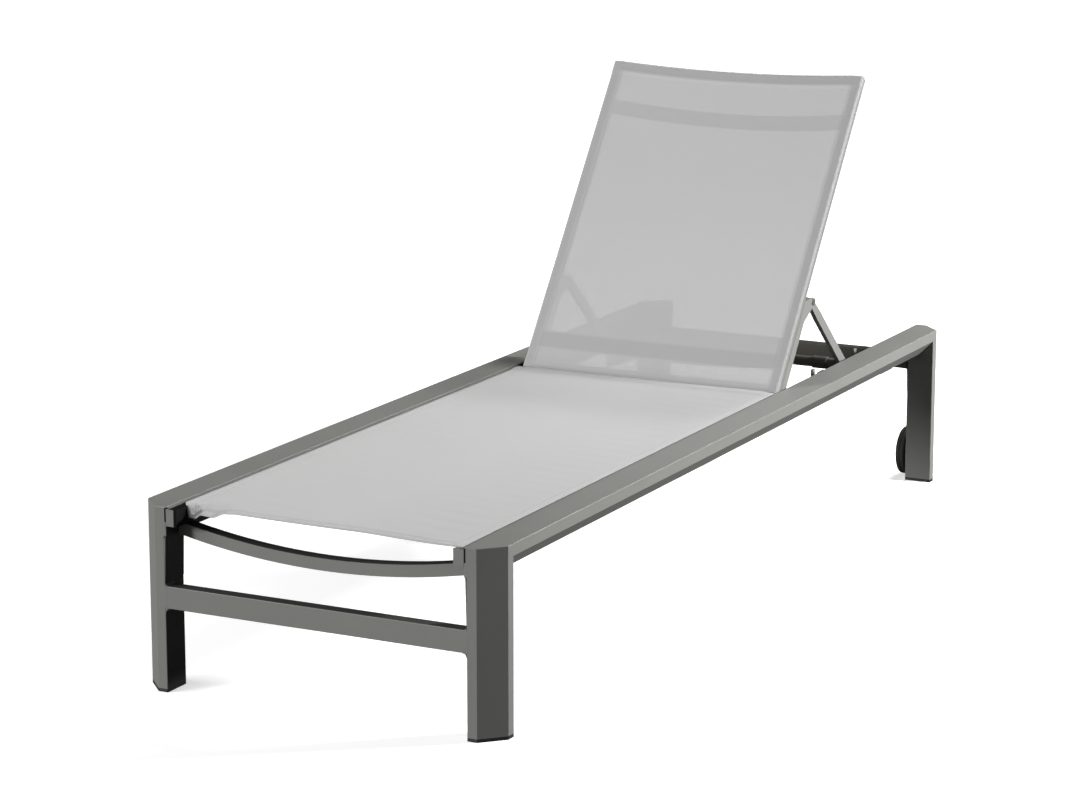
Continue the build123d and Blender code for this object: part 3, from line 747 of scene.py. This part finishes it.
def makeSeams(name, body, sling, shape, pointAt, setup):
    reach, hem = sling["seamReach"], sling["hem"]
    first = hem + math.pi * shape["rise"] / 2   # the run at the first folded edge, and at the last
    last = first + shape["length"]
    lift = sling["thickness"] / 2 + setup["stand"]
    mesh = bmesh.new()

    def surface(across, run):
        return pointAt(sling, shape, across, run)[0]

    for row in setup["rows"]:
        for run in (first + hem - row, last - hem + row):
            addSeam(mesh, surface, (-reach, run), (reach, run), lift, setup)
    for side in (-reach, reach):
        addSeam(mesh, surface, (side, first + setup["endGap"]), (side, last - setup["endGap"]), lift, setup)
    bmesh.ops.recalc_face_normals(mesh, faces=mesh.faces)
    finishPiece(name, mesh, stitchThread, body)


makeSeams("seatSeams", "frame", seatSling, seatFrame, seatPoint, stitchSetup)
makeSeams("backSeams", "backrest", backSling, backFrame, backPoint, stitchSetup)
print("seams made")


# black trim at the seat rails, much of it painted shade in the gaps beside them

def addBox(mesh, low, high, bevel):  # corners in millimetres
    made = bmesh.ops.create_cube(mesh, size=1.0)["verts"]
    low, high = Vector(low) * mm, Vector(high) * mm
    for vertex in made:
        for axis in range(3):
            vertex.co[axis] = low[axis] + (vertex.co[axis] + 0.5) * (high[axis] - low[axis])
    edges = list({edge for vertex in made for edge in vertex.link_edges})
    bmesh.ops.bevel(mesh, geom=edges, offset=bevel * mm, offset_type="OFFSET", segments=2, profile=0.5,
                    affect="EDGES", material=-1)


def addPair(mesh, low, high, bevel):
    addBox(mesh, low, high, bevel)
    addBox(mesh, (-high[0], low[1], low[2]), (-low[0], high[1], high[2]), bevel)


trimAndShadeSetup = {
    "bevel": 0.1,
    "stripX": (276.3, 279.8),
    "stripEnd": 3.0,        # short of the end plates
    "stripBed": 0.1,
    "stripHeight": 3.0,
    "stripBevel": 0.4,
    "gasketX": (0.6, 3.2),  # out from the seat rail
    "gasketY": (-0.15, 1.0),    # back from the end plate's face
    "gasketZ": (7.0, 2.5),  # over the seat rail's lower face, and over its upper one
    "shoeLength": 50.0,
    "shoeFront": 0.35,      # before the end plate's face
    "shoeTop": 0.25,        # over the rail
    "shoeSide": 0.6,        # past the rail's inner side
    "shoeLip": 4.2,         # over the rail's end, from that side
    "shoeInset": 0.8,       # from the strip's inner side
}


def makeStrips(setup, rail, caps):  # between the seat rails and the side rails, dark as painted shade in that gap
    mesh = bmesh.new()
    inner, outer = setup["stripX"]
    low = (inner, caps[0].y + setup["stripEnd"], rail[1].z - setup["stripBed"])
    high = (outer, caps[1].y - setup["stripEnd"], rail[1].z + setup["stripHeight"])
    addPair(mesh, low, high, setup["stripBevel"])
    finishPiece("gapStrips", mesh, gapPlastic, "frame", smooth=False)


def makeGaskets(setup, rail, caps):  # beside the front end plates: near-black fillers that are painted shade in that gap
    mesh = bmesh.new()
    (near, far), (front, behind), (under, over) = setup["gasketX"], setup["gasketY"], setup["gasketZ"]
    low = (rail[1].x + near, caps[0].y + front, rail[0].z + under)
    high = (rail[1].x + far, caps[0].y + behind, rail[1].z + over)
    addPair(mesh, low, high, setup["bevel"])
    finishPiece("gapGaskets", mesh, shoePlastic, "frame", smooth=False)


def makeShoe(setup, rail, caps):  # on the left rail's end, which the loose corner lays bare; near-black partly as the bared channel and partly as painted shade, and the right end has none
    mesh = bmesh.new()
    front, face = caps[0].y, caps[0].y - setup["shoeFront"]
    inner = -rail[0].x
    side, end = inner + setup["shoeSide"], front + setup["shoeLength"]
    under, over = rail[0].z, rail[1].z
    boxes = [
        ((setup["shoeInset"] - setup["stripX"][0], face, over), (side, end, over + setup["shoeTop"])),
        ((inner, face, under), (side, end, over)),
        ((inner - setup["shoeLip"], face, under), (side, front, over)),
    ]
    for low, high in boxes:
        addBox(mesh, low, high, setup["bevel"])
    finishPiece("endShoe", mesh, shoePlastic, "frame", smooth=False)


seatRail, railCaps = boxOf("right_seat_rail"), boxOf("seat_rail_caps")
makeStrips(trimAndShadeSetup, seatRail, railCaps)
makeGaskets(trimAndShadeSetup, seatRail, railCaps)
makeShoe(trimAndShadeSetup, seatRail, railCaps)
print("trim made")


# weld fillets between the tubes

weldSetup = {
    "steps": 6,
    "over": 5.0,            # over the front crossbar
    "under": 8.0,           # under it
    "rear": 5.0,            # under the rear crossbar
    "notch": (4.5, 8.0),    # under the side rail, along the leg's inner face
    "taper": (2.2, 80.0),   # the leg's slight widening to its top
    "coverReach": 2.6,      # ground flat over the joint of crossbar and leg
    "coverInset": 0.4,
    "coverY": (-0.12, 1.0),
    "coverBevel": 0.1,
}


def addFillet(mesh, corner, size, depth, steps):  # a hollow corner filling, its size across and up
    before = set(mesh.verts)
    first = mesh.verts.new((1.0, 0.0, 0.0))
    bmesh.ops.spin(mesh, geom=[first], cent=(1, 1, 0), axis=(0, 0, -1), angle=math.pi / 2, steps=steps)
    arc = sorted(set(mesh.verts) - before, key=lambda vertex: vertex.co.x)
    face = mesh.faces.new([mesh.verts.new((0.0, 0.0, 0.0))] + arc)
    for vertex in face.verts:
        vertex.co = (Vector(corner) + Vector((size[0] * vertex.co.x, 0, size[1] * vertex.co.y))) * mm
    grown = bmesh.ops.extrude_face_region(mesh, geom=[face], use_keep_orig=True)["geom"]
    moved = [item for item in grown if isinstance(item, bmesh.types.BMVert)]
    bmesh.ops.translate(mesh, verts=moved, vec=(0, depth * mm, 0))


def makeFillets(setup, bar, rearBar, legs, rail):
    steps = setup["steps"]
    fillets = [     # the tube that gives the depth, the corner's height, the size across and up, the steps
        (bar, bar[1].z, setup["over"], setup["over"], steps),
        (bar, bar[0].z, setup["under"], -setup["under"], steps),
        (rearBar, rearBar[0].z, setup["rear"], -setup["rear"], steps),
    ]
    for leg in legs:
        for (wide, tall), bends in ((setup["notch"], steps), (setup["taper"], 1)):
            fillets.append((leg, rail[0].z, wide, -tall, bends))
    inner = legs[0][0].x
    mesh = bmesh.new()
    for side in (-1, 1):
        for (low, high), height, wide, tall, bends in fillets:
            addFillet(mesh, (side * inner, low.y, height), (-side * wide, tall), high.y - low.y, bends)
    bmesh.ops.recalc_face_normals(mesh, faces=mesh.faces)
    finishPiece("tubeWelds", mesh, innerCoat, "frame", smooth=False)


def makeCovers(setup, bar, leg):
    mesh = bmesh.new()
    reach, inset = setup["coverReach"], setup["coverInset"]
    front, behind = setup["coverY"]
    low = (leg[0].x - reach, bar[0].y + front, bar[0].z + inset)
    high = (leg[0].x + reach, bar[0].y + behind, bar[1].z - inset)
    addPair(mesh, low, high, setup["coverBevel"])
    finishPiece("weldCovers", mesh, frameCoat, "frame", smooth=False)


crossbar = boxOf("front_crossbar")
legBoxes = [boxOf("right_front_leg"), boxOf("right_rear_leg")]
makeFillets(weldSetup, crossbar, boxOf("rear_crossbar"), legBoxes, boxOf("right_side_rail"))
makeCovers(weldSetup, crossbar, legBoxes[0])
print("welds made")


# camera, floor and light

cameraSetup = {             # solved from the frame's edges in the photograph
    "place": (2.756001, -5.615880, 1.735653),
    "tilt": 12.78,
    "turn": 27.01,
    "focalPixels": 3409.72,
    "imageWidth": 1080,
    "sensor": 36.0,
}


def makeCamera(setup):
    data = bpy.data.cameras.new("camera")
    data.sensor_width = setup["sensor"]
    data.lens = setup["focalPixels"] / setup["imageWidth"] * setup["sensor"]
    camera = addObject("camera", data)
    camera.location = setup["place"]
    camera.rotation_euler = (math.radians(90 - setup["tilt"]), 0, math.radians(setup["turn"]))
    bpy.context.scene.camera = camera


stageLook = {
    "floorSize": 30.0,
    "floorSeen": 0.80,      # how the camera sees it
    "floorBounce": 0.05,    # what it throws back on the object
    "glow": (0.50, 1.0),    # by the lounger, and far away
    "glowReach": (1.9, 3.6),
    "speck": (3.0, 2),
    "speckShare": 0.01,
    "glossSeen": 0.04,      # the share of the white that the gloss shows
    "fill": 0.01,
    "frontFill": 0.32,      # more of it from the foot end
}


def seenDirectly(finish, look):  # 1 for the camera and through clear things, less in the gloss
    rays = ("Is Camera Ray", "Is Transmission Ray", "Is Glossy Ray")
    camera, clear, gloss = [finish.node("LightPath", {}, {}, ray) for ray in rays]
    return finish.maths("MAXIMUM", finish.maths("MAXIMUM", camera, clear), gloss * look["glossSeen"])


def floorPaper(look):
    finish = Finish(bpy.data.materials.new("floorPaper"))
    seen = seenDirectly(finish, look)
    point = finish.place()
    reach = finish.node("VectorMath", {"operation": "LENGTH"}, {0: point}, "Value")
    glow = finish.ramp(reach, look["glowReach"], look["glow"], "SMOOTHSTEP")
    speck = finish.noise(point, *look["speck"]) * look["speckShare"]
    shade = look["floorBounce"] * (1 - seen) + look["floorSeen"] * seen
    grey = finish.node("CombineColor", {}, {0: shade, 1: shade, 2: shade})
    paper = finish.node("BsdfDiffuse", {}, {"Color": grey})
    light = finish.node("Emission", {}, {"Strength": seen * (glow + speck)})
    finish.shade({"Surface": finish.node("AddShader", {}, {0: paper, 1: light})}, "Material Output")
    return finish.owner


def makeFloor(look):
    mesh = bmesh.new()
    bmesh.ops.create_grid(mesh, x_segments=1, y_segments=1, size=look["floorSize"])
    addMesh("floor", mesh, floorPaper(look))


def makeWorld(look):
    world = bpy.data.worlds.new("studio")
    bpy.context.scene.world = world
    finish = Finish(world)
    seen = seenDirectly(finish, look)
    way = finish.axis(finish.node("TexCoord", {}, {}, "Generated"), "Y")
    front = finish.maths("MAXIMUM", 0 - way, 0.0)
    strength = (1 - seen) * (look["fill"] + front * look["frontFill"]) + seen
    finish.shade({"Color": (1, 1, 1, 1), "Strength": strength}, "Background")


keySetup = {                # azimuth 0 stands before the foot end, 90 on the right-hand side
    "azimuth": -39,
    "elevation": 12.5,
    "distance": 4,
    "spread": 14,
    "power": 2.75,
}
diskSetup = {
    "side": {"place": (3.6, 1.6, 1.85), "aim": (0.2, 0.0, 0.3), "size": 0.45, "power": 375.0},
    "top": {"place": (-2.3, -1.9, 2.5), "aim": (0.0, -0.4, 0.3), "size": 1.4, "power": 54.0},
    "rear": {"place": (0.35, 2.4, 2.2), "aim": (0.3, 0.8, 0.3), "size": 0.3, "power": 33.0},
}


def makeLamp(name, kind, place, aim, settings):
    data = bpy.data.lights.new(name, kind)
    for key, value in settings.items():
        setattr(data, key, value)
    lamp = addObject(name, data)
    lamp.location = place
    lamp.rotation_euler = (Vector(place) - Vector(aim)).to_track_quat("Z", "Y").to_euler()


def makeKey(setup):
    azimuth = math.radians(setup["azimuth"])
    elevation = math.radians(setup["elevation"])
    flat = math.cos(elevation)
    away = Vector((math.sin(azimuth) * flat, -math.cos(azimuth) * flat, math.sin(elevation)))
    settings = {"angle": math.radians(setup["spread"]), "energy": setup["power"]}
    makeLamp("key", "SUN", away * setup["distance"], (0, 0, 0), settings)


def makeDisk(name, setup):
    settings = {"shape": "DISK", "size": setup["size"], "energy": setup["power"]}
    makeLamp(name, "AREA", setup["place"], setup["aim"], settings)


makeCamera(cameraSetup)
makeFloor(stageLook)
makeWorld(stageLook)
makeKey(keySetup)
for diskName, disk in diskSetup.items():
    makeDisk(diskName, disk)
bpy.context.scene.view_settings.view_transform = "Standard"
print("camera, floor and light made")
